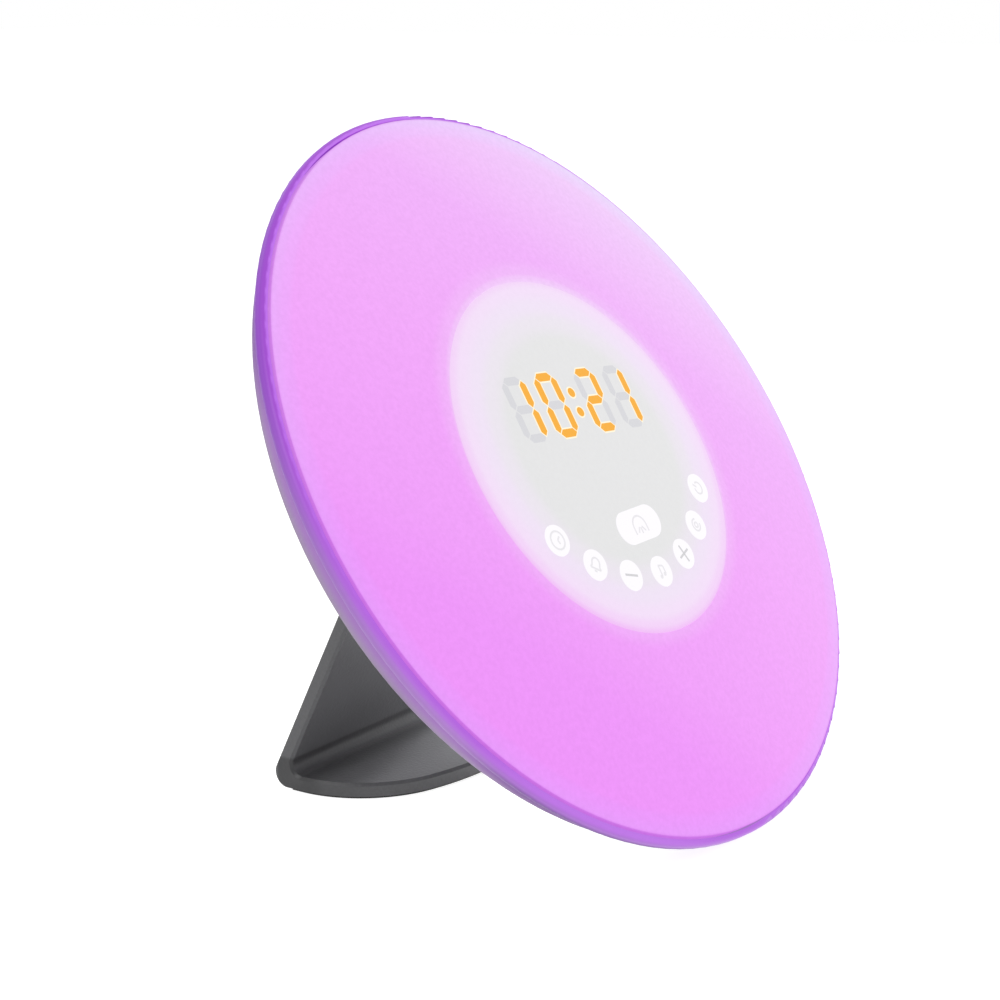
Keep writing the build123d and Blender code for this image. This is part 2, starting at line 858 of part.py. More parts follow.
with BuildPart() as hollow:
    revolve(saucer_profile(shell_in_r, shell_in_b, skin_back), axis=axis_at())
    revolve(
        ring_profile(
            (shelf_in_r, -flange_bottom),
            (rim_r, -flange_bottom),
            (rim_r, -flange_bottom - shelf_t),
            (shelf_in_r, -flange_bottom - shelf_t),
        ),
        axis=axis_at(),
        mode=Mode.SUBTRACT,
    )
    with BuildSketch(face.offset(-back_depth)):
        with PolarLocations(boss_r, 4, start_angle=45):
            Circle(tower_r)
    extrude(amount=back_depth - tower_top, mode=Mode.SUBTRACT)
    with BuildSketch(face.offset(-back_depth)):
        with Locations(at_speaker):
            Circle(speaker_r + fit_gap + rib_wall)
            Circle(speaker_r + fit_gap, mode=Mode.SUBTRACT)
    extrude(amount=skin + gasket_t + plate_t, mode=Mode.SUBTRACT)
    revolve(
        ring_profile(
            (0, -back_depth),
            (boss_out_r, -back_depth),
            (boss_out_r, -well_shoulder),
            (cup_out_r, -well_shoulder),
            (cup_out_r, floor_t - well_floor),
            (0, floor_t - well_floor),
            at=at_battery,
        ),
        axis=axis_at(*at_battery),
        mode=Mode.SUBTRACT,
    )
    add(
        leg_slab(sleeve_side, slot_w + sleeve_wall, 0, sleeve_end),
        mode=Mode.SUBTRACT,
    )

with BuildPart() as rear_shell:
    revolve(saucer_profile(shell_r, shell_b, back_depth), axis=axis_at())
    add(hollow.part, mode=Mode.SUBTRACT)
    revolve(  # lip that nests inside the rim ring
        ring_profile(
            (nest_r, -flange_bottom - shelf_t),
            (nest_r + 1.9, -flange_bottom - shelf_t),
            (nest_r + 1.9, -rim_height - 0.1),
            (nest_r + 0.8, -rim_height - 0.1),
            (nest_r + 0.8, 1 - rim_height),
            (nest_r, 1 - rim_height),
        ),
        axis=axis_at(),
    )
    with BuildSketch(face.offset(-back_depth - 1)):
        with PolarLocations(boss_r, 4, start_angle=45):
            Circle(screw_head_r + 0.3)
    extrude(amount=back_depth + 1 - head_seat, mode=Mode.SUBTRACT)
    with BuildSketch(face.offset(-head_seat)):
        with PolarLocations(boss_r, 4, start_angle=45):
            Circle(screw_r + 0.2)
    extrude(amount=head_seat - tower_top, mode=Mode.SUBTRACT)
    with BuildSketch(face.offset(-back_depth)):
        for row in range(-grille_rows, grille_rows + 1):
            rise = row * grille_pitch
            with Locations((0, speaker_v + rise)):
                SlotOverall(2 * sqrt(grille_r**2 - rise**2), grille_slot)
        with Locations(inlet_at):
            Circle(inlet_nose_r + fit_gap)
    extrude(amount=skin, mode=Mode.SUBTRACT)
    revolve(
        ring_profile(
            (0, -back_depth - 1),
            (recess_r, -back_depth - 1),
            (recess_r, -ledge_out),
            (spigot_r + moving_gap, -ledge_out),
            (spigot_r + moving_gap, -ledge_in),
            (undercut_r, -ledge_in),
            (undercut_r, -undercut_in),
            (pocket_r, -undercut_in),
            (pocket_r, -well_floor),
            (0, -well_floor),
            at=at_battery,
        ),
        axis=axis_at(*at_battery),
        mode=Mode.SUBTRACT,
    )
    with BuildSketch(face.offset(-ledge_out)):
        with Locations(at_battery):
            with PolarLocations(lug_r - 1.0, lug_count, start_angle=90 - unlock_turn):
                Rectangle(2 * (undercut_r - lug_r + 1.0) - 0.5, lug_w + 1.4)
    extrude(amount=ledge_out - ledge_in, mode=Mode.SUBTRACT)
    with BuildSketch(face.offset(-undercut_in)):
        with Locations(side_contact_at):
            Rectangle(side_contact_t + 2 * fit_gap, side_contact_w + 2 * fit_gap)
    extrude(amount=undercut_in - well_floor, mode=Mode.SUBTRACT)
    with BuildSketch(face.offset(-well_floor)):
        with Locations(base_tail_at):
            Circle(tail_r + fit_gap)
        with Locations(side_contact_at):
            Rectangle(side_contact_t + 2 * fit_gap, 2 * tail_r + 2 * fit_gap)
    extrude(amount=floor_t, mode=Mode.SUBTRACT)
    add(leg_slab(slot_t, slot_w, -leg_bury, tongue_len + moving_gap), mode=Mode.SUBTRACT)
    add(detent(0.25), mode=Mode.SUBTRACT)
save(rear_shell.part, "rear_shell")

with BuildPart() as housing_screws:
    with BuildSketch(face.offset(-head_seat)):
        with PolarLocations(boss_r, 4, start_angle=45):
            Circle(screw_head_r)
    extrude(amount=-screw_head_h)
    with BuildSketch(face.offset(-head_seat)):
        with PolarLocations(boss_r, 4, start_angle=45):
            Circle(screw_r)
    extrude(amount=head_seat - dish_under)
save(housing_screws.part, "housing_screws")

# ---- stand bracket: D-shaped base folded up into a straight leg with a tongue ------------------
top_sole = sole_z + leg_t
inner_corner_y = centre_y + corner_y - leg_t / tan(fold / 2)
inner_fold_y = inner_corner_y - heel_fillet / tan(fold / 2)
corner_x = stand_half - base_corner_r
corner_centre_y = inner_fold_y
front_centre_y = corner_centre_y + sqrt((base_front_r - base_corner_r) ** 2 - corner_x**2)
corner_sweep = degrees(atan2(front_centre_y - corner_centre_y, corner_x))
fold_y = centre_y + heel_centre_y


def base_plan(plane, inset=0.0):
    """D outline of the base, from the fold to the bowed front."""
    with BuildSketch(plane) as plan:
        with BuildLine():
            CenterArc((corner_x, corner_centre_y), base_corner_r, 0, -corner_sweep)
            CenterArc(
                (0, front_centre_y), base_front_r, -corner_sweep, 2 * corner_sweep - 180
            )
            CenterArc((-corner_x, corner_centre_y), base_corner_r, 180, corner_sweep)
            Polyline(
                (-stand_half, corner_centre_y),
                (-stand_half, fold_y),
                (stand_half, fold_y),
                (stand_half, corner_centre_y),
            )
        make_face()
        if inset:
            offset(amount=-inset, kind=Kind.INTERSECTION, mode=Mode.REPLACE)
    return plan.sketch


def world_yz(v, w):
    point = face.from_local_coords((0, v, w))
    return point.Y, point.Z


leg_end_out = world_yz(leg_meets_v - moving_gap / sp * cp, -back_depth - moving_gap)
leg_end_in = world_yz(
    leg_meets_v - leg_t / sp - moving_gap / sp * cp, -back_depth - moving_gap
)

into_fold = Vector(0, -1, 1)

with BuildPart() as stand_bracket:
    extrude(base_plan(Plane.XY.offset(sole_z)), amount=leg_t)
    with BuildSketch(Plane.YZ):
        with BuildLine():
            outer = CenterArc((fold_y, sole_z + heel_round), heel_round, -90, 90 + leg_lean)
            Line(outer @ 1, leg_end_out)
            Line(leg_end_out, leg_end_in)
            inner = CenterArc(
                (inner_fold_y, top_sole + heel_fillet), heel_fillet, -90, 90 + leg_lean
            )
            Line(inner @ 1, leg_end_in)
            Polyline(inner @ 0, (inner_fold_y, sole_z), outer @ 0)
        make_face()
    extrude(amount=stand_half, both=True)
    inside = stand_bracket.faces().filter_by(
        lambda side: side.normal_at().dot(into_fold) > 0.3 and side.center().Z > top_sole - 0.1
    )
    outline = inside.sort_by(Axis.Z)[:-1].edges().filter_by(Axis.X, reverse=True)
    chamfer(outline, inner_bevel)
    add(leg_slab(leg_t / 2, tongue_half, -leg_bury, tongue_len))
    add(detent(0))
    extrude(
        base_plan(Plane.XY.offset(sole_z), pad_inset - fit_gap),
        amount=pad_sink,
        mode=Mode.SUBTRACT,
    )
save(stand_bracket.part, "stand_bracket")

with BuildPart() as stand_pad:
    extrude(base_plan(Plane.XY, pad_inset), amount=pad_t)
save(stand_pad.part, "stand_pad")
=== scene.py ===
"""Looks of the sunrise alarm clock: glowing front, lit digits, printed keys, shell and stand.

Places on the head are in millimetres on the tilted face: x to the right, v up the face and w out
of it, with w = 0 at the seam between the diffuser and the rim ring.
"""
from math import cos, pi, radians, sin, sqrt

import bmesh
import bpy
from mathutils import Matrix, Vector


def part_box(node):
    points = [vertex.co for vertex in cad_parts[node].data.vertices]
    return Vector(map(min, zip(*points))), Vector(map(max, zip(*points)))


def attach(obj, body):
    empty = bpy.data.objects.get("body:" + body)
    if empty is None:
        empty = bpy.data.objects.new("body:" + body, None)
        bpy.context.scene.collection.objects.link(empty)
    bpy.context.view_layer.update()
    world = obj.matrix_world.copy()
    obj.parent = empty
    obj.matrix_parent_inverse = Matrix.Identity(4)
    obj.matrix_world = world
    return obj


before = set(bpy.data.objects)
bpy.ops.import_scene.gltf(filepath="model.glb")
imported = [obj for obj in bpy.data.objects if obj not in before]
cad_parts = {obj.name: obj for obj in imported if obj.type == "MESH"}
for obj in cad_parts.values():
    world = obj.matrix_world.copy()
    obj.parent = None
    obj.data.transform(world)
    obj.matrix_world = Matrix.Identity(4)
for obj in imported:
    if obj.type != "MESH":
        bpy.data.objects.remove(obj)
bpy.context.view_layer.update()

MM = 0.001

# ---- the face -------------------------------------------------------------------------------
LEAN = radians(33.0)  # face from the vertical
RING_MID = -1.975  # middle of the rim ring behind the seam plane
RIGHT = Vector((1, 0, 0))
UP = Vector((0, sin(LEAN), cos(LEAN)))
OUT = Vector((0, -cos(LEAN), sin(LEAN)))
ring_low, ring_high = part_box("rim_ring")
CENTRE = (ring_low + ring_high) / 2 - RING_MID * MM * OUT

DIFFUSER_R = 83.75
DOME_RISE = 5.2
DOME_R = (DIFFUSER_R**2 + DOME_RISE**2) / (2 * DOME_RISE)
WINDOW_R = 41.0
KEYS = ("clock", "alarm", "minus", "sound", "plus", "colour", "power")  # along the arc


def on_face(x, v, w):
    """Point in metres from its place on the face."""
    return CENTRE + MM * (x * RIGHT + v * UP + w * OUT)


def dome(x, v):
    """Height of the front's surface above the seam."""
    return DOME_RISE - DOME_R + sqrt(DOME_R**2 - x**2 - v**2)



def direction(azimuth, elevation):
    """Direction out to a viewer; azimuth 0 is in front and grows to the left, in degrees."""
    around, up = radians(azimuth), radians(elevation)
    return Vector((-sin(around) * cos(up), -cos(around) * cos(up), sin(up)))


# ---- camera ---------------------------------------------------------------------------------
DISTANCE = 0.4925
LENS = 83.83
SENSOR = 36.0
SHIFT = (-0.0812, -0.0384)

towards = direction(azimuth=57.06, elevation=12.29)
camera = bpy.data.objects.new("camera", bpy.data.cameras.new("camera"))
camera.data.lens = LENS
camera.data.sensor_width = SENSOR
camera.data.shift_x, camera.data.shift_y = SHIFT
camera.data.clip_start = 0.01
camera.location = CENTRE + DISTANCE * towards
camera.rotation_euler = towards.to_track_quat("Z", "Y").to_euler()
bpy.context.scene.collection.objects.link(camera)
bpy.context.scene.camera = camera
bpy.context.scene.view_settings.view_transform = "Standard"


# ---- node helpers -----------------------------------------------------------------------------
def srgb(r, g, b):
    """Linear colour of an 8-bit screen colour."""

    def linear(c):
        c /= 255
        return c / 12.92 if c <= 0.04045 else ((c + 0.055) / 1.055) ** 2.4

    return (linear(r), linear(g), linear(b), 1.0)


def grey(value):
    return (value, value, value, 1.0)


BLACK, WHITE = grey(0), grey(1)


class Paint:
    """A material with one Principled shader, and short calls for what drives its sockets."""

    MIX_INPUTS = (0, 6, 7)  # factor and the two colours of a mix node
    MIX_OUTPUT = 2  # its colour

    def __init__(self, name, colour, roughness, **sockets):
        self.material = bpy.data.materials.new(name)
        self.material.use_nodes = True
        self.tree = self.material.node_tree
        self.shader = self.tree.nodes["Principled BSDF"]
        self.set("Base Color", colour)
        self.set("Roughness", roughness)
        for socket, value in sockets.items():
            self.set(socket.replace("_", " "), value)
        self.material.diffuse_color = colour

    def set(self, socket, value):
        self.shader.inputs[socket].default_value = value

    def node(self, kind, **settings):
        made = self.tree.nodes.new(kind)
        for key, value in settings.items():
            setattr(made, key, value)
        return made

    def link(self, source, target):
        self.tree.links.new(source, target)
        return source

    def place(self):
        """Position on the object at rest, in metres."""
        return self.node("ShaderNodeTexCoord").outputs["Object"]

    def face_place(self):
        """The same position as (x, v, w) on the face, in millimetres."""
        turn = self.node("ShaderNodeMapping", vector_type="POINT")
        angle = LEAN - pi / 2
        turn.inputs["Scale"].default_value = (1 / MM,) * 3
        turn.inputs["Rotation"].default_value = (angle, 0, 0)
        turn.inputs["Location"].default_value = -(Matrix.Rotation(angle, 3, "X") @ CENTRE) / MM
        self.link(self.place(), turn.inputs["Vector"])
        return turn.outputs["Vector"]

    def along(self, vector, direction):
        """Component of a vector along a direction."""
        dot = self.node("ShaderNodeVectorMath", operation="DOT_PRODUCT")
        self.link(vector, dot.inputs[0])
        dot.inputs[1].default_value = direction
        return dot.outputs["Value"]

    def radius(self, vector, centre=(0, 0)):
        """Distance from an axis square to the face, in millimetres."""
        flat = self.node("ShaderNodeVectorMath", operation="MULTIPLY_ADD")
        self.link(vector, flat.inputs[0])
        flat.inputs[1].default_value = (1, 1, 0)
        flat.inputs[2].default_value = (-centre[0], -centre[1], 0)
        length = self.node("ShaderNodeVectorMath", operation="LENGTH")
        self.link(flat.outputs["Vector"], length.inputs[0])
        return length.outputs["Value"]

    def ramp(self, value, *stops, smooth=True):
        """Colours at given places of a value; each stop is a place and a colour."""
        low, high = stops[0][0], stops[-1][0]
        fit = self.node("ShaderNodeMapRange")
        fit.inputs["From Min"].default_value = low
        fit.inputs["From Max"].default_value = high
        self.link(value, fit.inputs["Value"])
        colours = self.node("ShaderNodeValToRGB")
        band = colours.color_ramp
        band.interpolation = "EASE" if smooth else "LINEAR"
        while len(band.elements) < len(stops):
            band.elements.new(0.5)
        for element, (at, colour) in zip(band.elements, stops):
            element.position = (at - low) / (high - low)
            element.color = colour
        self.link(fit.outputs["Result"], colours.inputs["Fac"])
        return colours.outputs["Color"]

    def noise(self, scale):
        """Even noise from 0 to 1 over the object."""
        grain = self.node("ShaderNodeTexNoise")
        grain.inputs["Scale"].default_value = scale
        grain.inputs["Detail"].default_value = 2.0
        self.link(self.place(), grain.inputs["Vector"])
        return grain.outputs["Fac"]

    def mix(self, factor, a, b, blend="MIX"):
        """Colours or factors may be values or sockets."""
        blender = self.node("ShaderNodeMix", data_type="RGBA", blend_type=blend)
        for index, value in zip(self.MIX_INPUTS, (factor, a, b)):
            if isinstance(value, (int, float, tuple)):
                blender.inputs[index].default_value = value
            else:
                self.link(value, blender.inputs[index])
        return blender.outputs[self.MIX_OUTPUT]

    def times(self, a, b):
        return self.mix(1.0, a, b, "MULTIPLY")

    def speckle(self, colour, scale, amount):
        """The colour, darkened a little in places by a fine grain."""
        grain = self.ramp(self.noise(scale), (0.3, grey(1 - amount)), (0.7, WHITE), smooth=False)
        return self.times(colour, grain)

    def colour(self, source):
        self.link(source, self.shader.inputs["Base Color"])

    def bump(self, scale, depth):
        """Fine relief, depth in metres."""
        relief = self.node("ShaderNodeBump")
        relief.inputs["Distance"].default_value = depth
        self.link(self.noise(scale), relief.inputs["Height"])
        self.link(relief.outputs["Normal"], self.shader.inputs["Normal"])

    def vary_roughness(self, scale, low, high):
        """Roughness that changes from place to place."""
        band = self.node("ShaderNodeMapRange")
        band.inputs["To Min"].default_value = low
        band.inputs["To Max"].default_value = high
        self.link(self.noise(scale), band.inputs["Value"])
        self.link(band.outputs["Result"], self.shader.inputs["Roughness"])


def cover(paint, *nodes):
    """The material goes on CAD nodes."""
    for name in nodes:
        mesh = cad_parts[name].data
        mesh.materials.clear()
        mesh.materials.append(paint.material)


# ---- the lit front --------------------------------------------------------------------------
PALE_SIDE = (cos(radians(45)), sin(radians(45)), 0)  # the glow is palest on the upper right
GLOW = (
    (-82, srgb(242, 151, 252)),
    (-58, srgb(242, 154, 252)),
    (-42, srgb(244, 164, 252)),
    (0, srgb(246, 175, 252)),
    (42, srgb(244, 185, 252)),
    (58, srgb(245, 198, 252)),
    (72, srgb(244, 208, 252)),
    (82, srgb(244, 217, 251)),
)
HALO_AT = (0.6, 1.0)  # middle of the pale ring round the window
HALO = srgb(246, 228, 252)


def lit(paint, colour, share=1.0):
    """Light of that colour from the surface itself."""
    paint.link(colour, paint.shader.inputs["Emission Color"])
    paint.set("Emission Strength", share)


opal = Paint("opal_front", srgb(84, 34, 92), roughness=0.5, Specular_IOR_Level=0.3)
at = opal.face_place()
glow = opal.ramp(opal.along(at, PALE_SIDE), *GLOW, smooth=False)
halo = opal.ramp(
    opal.radius(at, HALO_AT), (40, grey(0.7)), (41, grey(0.5)), (42.2, grey(0.2)), (46, BLACK)
)
edge = opal.ramp(  # paler towards the seam, and darker in its rounding
    opal.radius(at),
    (78, WHITE),
    (80, (0.97, 1.05, 1.02, 1)),
    (82.8, (0.935, 1.1, 1.02, 1)),
    (83.1, (0.9, 1.0, 1.0, 1)),
    (83.45, (0.66, 0.55, 0.78, 1)),
)
face_light = opal.times(opal.mix(halo, glow, HALO), edge)
lit(opal, opal.speckle(face_light, scale=900, amount=0.06), share=0.84)
opal.bump(scale=1800, depth=0.00002)
cover(opal, "front_diffuser")

window = Paint("display_window", srgb(70, 70, 72), roughness=0.5, Specular_IOR_Level=0.3)
pane = window.ramp(
    window.radius(window.face_place(), HALO_AT),
    (25, srgb(232, 232, 232)),
    (30, srgb(239, 232, 242)),
    (34, srgb(244, 229, 250)),
    (38, srgb(248, 225, 253)),
    (40.4, srgb(248, 212, 253)),
    (42.2, srgb(246, 188, 252)),
)
lit(window, window.speckle(pane, scale=900, amount=0.02), share=0.86)
window.bump(scale=1800, depth=0.00002)
cover(window, "display_window")

key_white = Paint("key_white", srgb(90, 88, 92), roughness=0.5, Specular_IOR_Level=0.3)
lit(key_white, key_white.speckle(srgb(248, 246, 249), scale=1800, amount=0.01), share=0.9)
cover(key_white, *[f"key_{name}" for name in KEYS + ("lamp",)])

# ---- rim ring, shell and baffle: painted glow that fades backwards, with painted light and shade ---
LEFT_TO_LOW = (cos(radians(235)), sin(radians(235)), 0)  # from the left round to the foot

rim = Paint("rim", srgb(56, 32, 74), roughness=0.4, Specular_IOR_Level=0.3)
at = rim.face_place()
depth = rim.along(at, (0, 0, 1))
# The ring's colour is all emission: painted glow from the lamp, a painted highlight on the lip
# just behind the seam, and painted shade that changes from the left round to the foot.
left_band = rim.ramp(
    depth,
    (-3.6, srgb(104, 44, 146)),
    (-1.5, srgb(130, 44, 178)),
    (-0.6, srgb(146, 56, 190)),
    (-0.4, srgb(180, 100, 224)),
    (0, srgb(176, 94, 216)),
)
low_band = rim.ramp(
    depth,
    (-3.6, srgb(134, 98, 160)),
    (-2.4, srgb(154, 113, 178)),
    (-1.5, srgb(163, 112, 192)),
    (-0.9, srgb(170, 102, 206)),
    (-0.4, srgb(168, 86, 208)),
)
foot_band = rim.ramp(
    depth,
    (-2.8, srgb(96, 56, 126)),
    (-1.5, srgb(156, 96, 190)),
    (-0.5, srgb(178, 104, 216)),
)
towards_low = rim.along(at, LEFT_TO_LOW)
band = rim.mix(rim.ramp(towards_low, (5, BLACK), (78, WHITE)), left_band, low_band)
band = rim.mix(rim.ramp(towards_low, (76, BLACK), (84, WHITE)), band, foot_band)
lit(rim, rim.speckle(band, scale=900, amount=0.02))
cover(rim, "rim_ring")

shell = Paint("shell", srgb(120, 114, 126), roughness=0.55, Specular_IOR_Level=0.15)
at = shell.face_place()
depth = shell.along(at, (0, 0, 1))
# the shell's grey, with a purple cast towards the rim that is painted glow from the lamp
colour_and_glow_cast = shell.ramp(
    depth,
    (-22, srgb(148, 144, 150)),
    (-16, srgb(126, 121, 128)),
    (-9, srgb(118, 104, 124)),
    (-3.6, srgb(118, 88, 130)),
)
# painted shade, near the rim only: darker from the left above the middle over the top and down
# the right, and again where the shell turns down to the foot; it darkens the colour and the
# painted glow
shade = shell.ramp(
    shell.along(at, LEFT_TO_LOW),
    (2, (0.66, 0.5, 0.78, 1)),
    (28, WHITE),
    (74, WHITE),
    (82, (0.62, 0.52, 0.68, 1)),
)
near_rim = shell.ramp(depth, (-13, BLACK), (-6, WHITE))
shade = shell.mix(near_rim, WHITE, shade)
shell.colour(shell.speckle(shell.times(colour_and_glow_cast, shade), scale=1200, amount=0.03))
# painted glow: emission near the rim that stands in for the lamp's light coming through the
# shell, under the same painted shade
painted_rim_glow = shell.ramp(depth, (-14, BLACK), (-3.6, srgb(112, 62, 148)))
lit(shell, shell.times(painted_rim_glow, shade), share=0.7)
shell.bump(scale=1400, depth=0.00003)
cover(shell, "rear_shell", "battery_cover")

SOOT = srgb(26, 26, 28)
GAP_GLOW = srgb(240, 180, 250)
baffle = Paint("baffle", SOOT, roughness=0.5)
painted_gap_glow = baffle.ramp(  # painted glow on the black baffle, where the lamp's light comes up the fine gap round the window
    baffle.radius(baffle.face_place()),
    (WINDOW_R - 0.6, BLACK),
    (WINDOW_R - 0.3, GAP_GLOW),
    (WINDOW_R + 0.6, GAP_GLOW),
    (WINDOW_R + 0.9, BLACK),
)
baffle.colour(baffle.speckle(SOOT, scale=1500, amount=0.12))
lit(baffle, painted_gap_glow, share=0.9)
cover(baffle, "light_baffle")

# ---- stand ----------------------------------------------------------------------------------
stand = Paint("stand_plastic", srgb(72, 72, 74), roughness=0.3, Specular_IOR_Level=0.35)
at = stand.place()
painted_fold_shade = stand.ramp(  # painted shade: the base darkens towards the inside of the fold
    stand.along(at, (0, 1 / MM, 0)),
    (26, WHITE),
    (36, grey(0.8)),
    (43, grey(0.45)),
    (50, grey(0.4)),
    (50.6, WHITE),
)
above_fold = stand.ramp(stand.along(at, (0, 0, 1 / MM)), (6.8, BLACK), (8.0, WHITE))
painted_fold_shade = stand.mix(above_fold, painted_fold_shade, WHITE)
stand.colour(stand.times(stand.speckle(srgb(76, 76, 78), scale=1500, amount=0.12), painted_fold_shade))
stand.vary_roughness(scale=60, low=0.26, high=0.34)
stand.bump(scale=1600, depth=0.00004)
cover(stand, "stand_bracket")

pad = Paint("pad_rubber", srgb(28, 28, 28), roughness=0.8)
pad.colour(pad.speckle(srgb(30, 30, 30), scale=900, amount=0.3))
pad.bump(scale=900, depth=0.0001)
cover(pad, "stand_pad")


# ---- what is inside and behind --------------------------------------------------------------
def moulded(name, colour, roughness, *nodes, grain=1500):
    """Moulded plastic: even colour with a fine grain."""
    paint = Paint(name, colour, roughness)
    paint.colour(paint.speckle(colour, grain, amount=0.1))
    paint.bump(grain, depth=0.00003)
    cover(paint, *nodes)


def metal(name, colour, roughness, *nodes):
    """Metal with fine scratches in its roughness."""
    paint = Paint(name, colour, roughness, Metallic=1.0)
    paint.vary_roughness(scale=700, low=roughness - 0.08, high=roughness + 0.08)
    paint.colour(paint.speckle(colour, scale=500, amount=0.08))
    cover(paint, *nodes)


moulded("black_moulding", SOOT, 0.5, "digit_module")
moulded("white_moulding", srgb(236, 236, 234), 0.45, "reflector_dish", "wire_sockets")
moulded("solder_mask", srgb(28, 92, 52), 0.35, "display_board", "led_ring_board", "main_board")
moulded("dark_moulding", srgb(34, 34, 36), 0.4, "link_header", "controller_chip", "power_inlet")
moulded("amber_lens", srgb(240, 170, 60), 0.3, "digit_segments")
moulded("lamp_package", srgb(244, 238, 214), 0.3, "colour_lamps", "white_lamps")
moulded("foam", srgb(30, 30, 30), 0.95, "speaker_gasket", grain=500)
moulded("cone_paper", srgb(38, 36, 34), 0.85, "speaker_cone", grain=700)
metal("steel", srgb(190, 190, 194), 0.32, "board_screws", "housing_screws", "inlet_pin")
metal(
    "sprung_plate",
    srgb(200, 196, 186),
    0.35,
    "touch_pads",
    "cell_contact_base",
    "cell_contact_side",
)
metal("can", srgb(204, 205, 208), 0.28, "capacitors", "coin_cell")
metal("basket", srgb(120, 120, 124), 0.45, "speaker_basket", "speaker_magnet")

# ---- lit and unlit digits -------------------------------------------------------------------
MARK_LIFT = 0.03  # marks stand out of the surface that they lie on
MARK_SINK = 0.05  # and reach into the dome
KEY_PROUD = 0.15  # keys stand out of the window


def marks(name, paint, outlines, lift):
    """Thin closed shapes that follow the dome; each outline is a list of (x, v)."""
    shape = bmesh.new()
    for outline in outlines:
        upper, lower = (
            [shape.verts.new(on_face(x, v, dome(x, v) + height)) for x, v in outline]
            for height in (lift, -MARK_SINK)
        )
        shape.faces.new(upper)
        shape.faces.new(reversed(lower))
        for k in range(len(outline)):
            shape.faces.new((upper[k - 1], lower[k - 1], lower[k], upper[k]))
    bmesh.ops.recalc_face_normals(shape, faces=shape.faces)
    mesh = bpy.data.meshes.new(name)
    shape.to_mesh(mesh)
    shape.free()
    mesh.materials.append(paint.material)
    piece = bpy.data.objects.new(name, mesh)
    bpy.context.scene.collection.objects.link(piece)
    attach(piece, "clock_head")


MARKS_X = 1.0  # middle of the digits and keys, right of the window's
DIGIT_W, DIGIT_H = 7.65, 15.07
DIGIT_GAP = 3.0
COLON_GAP = 6.4  # between the two middle digits
INNER_X = (COLON_GAP + DIGIT_W) / 2
OUTER_X = INNER_X + DIGIT_W + DIGIT_GAP
DIGIT_X = (-OUTER_X, -INNER_X, INNER_X, OUTER_X)
DIGIT_V = 11.5
DIGIT_TURN = radians(-5)
SEGMENT_W = 1.9
SEGMENT_SPLIT = 0.4
COLON_R = 1.1
COLON_RISE = 2.3
BAR_X = (DIGIT_W - SEGMENT_W) / 2
BAR_V = (DIGIT_H - SEGMENT_W) / 2
SEGMENTS = {  # middle of each segment, and whether it is upright
    "a": (0, BAR_V, False),
    "b": (BAR_X, BAR_V / 2, True),
    "c": (BAR_X, -BAR_V / 2, True),
    "d": (0, -BAR_V, False),
    "e": (-BAR_X, -BAR_V / 2, True),
    "f": (-BAR_X, BAR_V / 2, True),
    "g": (0, 0, False),
}
SHOWN = ("bc", "abcdef", "abged", "bc")  # 10:21
GLOW_BORDER = 0.35  # pale line round the lit segments


def segment(letter, x0, grow):
    """Outline of one segment of the digit at x0; grow widens it all round."""
    x, v, upright = SEGMENTS[letter]
    end = ((BAR_V if upright else 2 * BAR_X) - SEGMENT_SPLIT) / 2 + grow
    side = SEGMENT_W / 2 + grow
    flat = [(-end, 0), (side - end, side), (end - side, side)]
    flat += [(-p, -q) for p, q in flat]
    return [(x0 + x - (q if upright else -p), v + (p if upright else q)) for p, q in flat]


def disc(x, v, radius, count=20):
    """Outline of a round dot."""
    turns = [2 * pi * k / count for k in range(count)]
    return [(x + radius * cos(turn), v + radius * sin(turn)) for turn in turns]


def placed(pieces, x0, v0, turn):
    """Pieces drawn about the origin, turned and moved."""
    c, s = cos(turn), sin(turn)
    return [[(x0 + x * c - v * s, v0 + x * s + v * c) for x, v in piece] for piece in pieces]


def row(lit_ones, grow):
    """Lit segments and the colon, or the unlit segments, on the turned row."""
    pieces = [
        segment(letter, x0, grow)
        for x0, shown in zip(DIGIT_X, SHOWN)
        for letter in SEGMENTS
        if (letter in shown) == lit_ones
    ]
    if lit_ones:
        pieces += [disc(0, side * COLON_RISE, COLON_R + grow) for side in (1, -1)]
    return placed(pieces, MARKS_X, DIGIT_V, DIGIT_TURN)


def print_paint(name, colour, share):
    """Print that shines with its own screen colour over a darker base."""
    base = srgb(*[0.4 * c for c in colour])
    paint = Paint(name, base, roughness=0.5, Specular_IOR_Level=0.3)
    lit(paint, paint.speckle(srgb(*colour), scale=3000, amount=0.03), share)
    return paint


amber = print_paint("digit_amber", (245, 172, 46), 0.86)
amber_glow = print_paint("digit_glow", (252, 242, 214), 0.9)
unlit = print_paint("digit_unlit", (212, 212, 216), 0.86)
print_grey = print_paint("print_grey", (208, 207, 210), 0.86)
print_faint = print_paint("print_faint", (230, 228, 232), 0.86)

marks("digit_glow", amber_glow, row(True, GLOW_BORDER), MARK_LIFT)
marks("digits_lit", amber, row(True, 0.0), 2 * MARK_LIFT)
marks("digits_unlit", unlit, row(False, 0.0), MARK_LIFT)

# ---- key signs ------------------------------------------------------------------------------
KEY_MARGIN = 5.7  # from the window's edge in to the arc of keys
KEY_ARC_R = WINDOW_R - KEY_MARGIN
KEY_ARC_V = 6.8  # centre of the arc
KEY_PITCH = radians(17.5)
LAMP_KEY_RISE = 10.9  # above the lowest key
LAMP_KEY_V = KEY_ARC_V - KEY_ARC_R + LAMP_KEY_RISE
LINE_W = 0.42
BOLD_W = 0.5


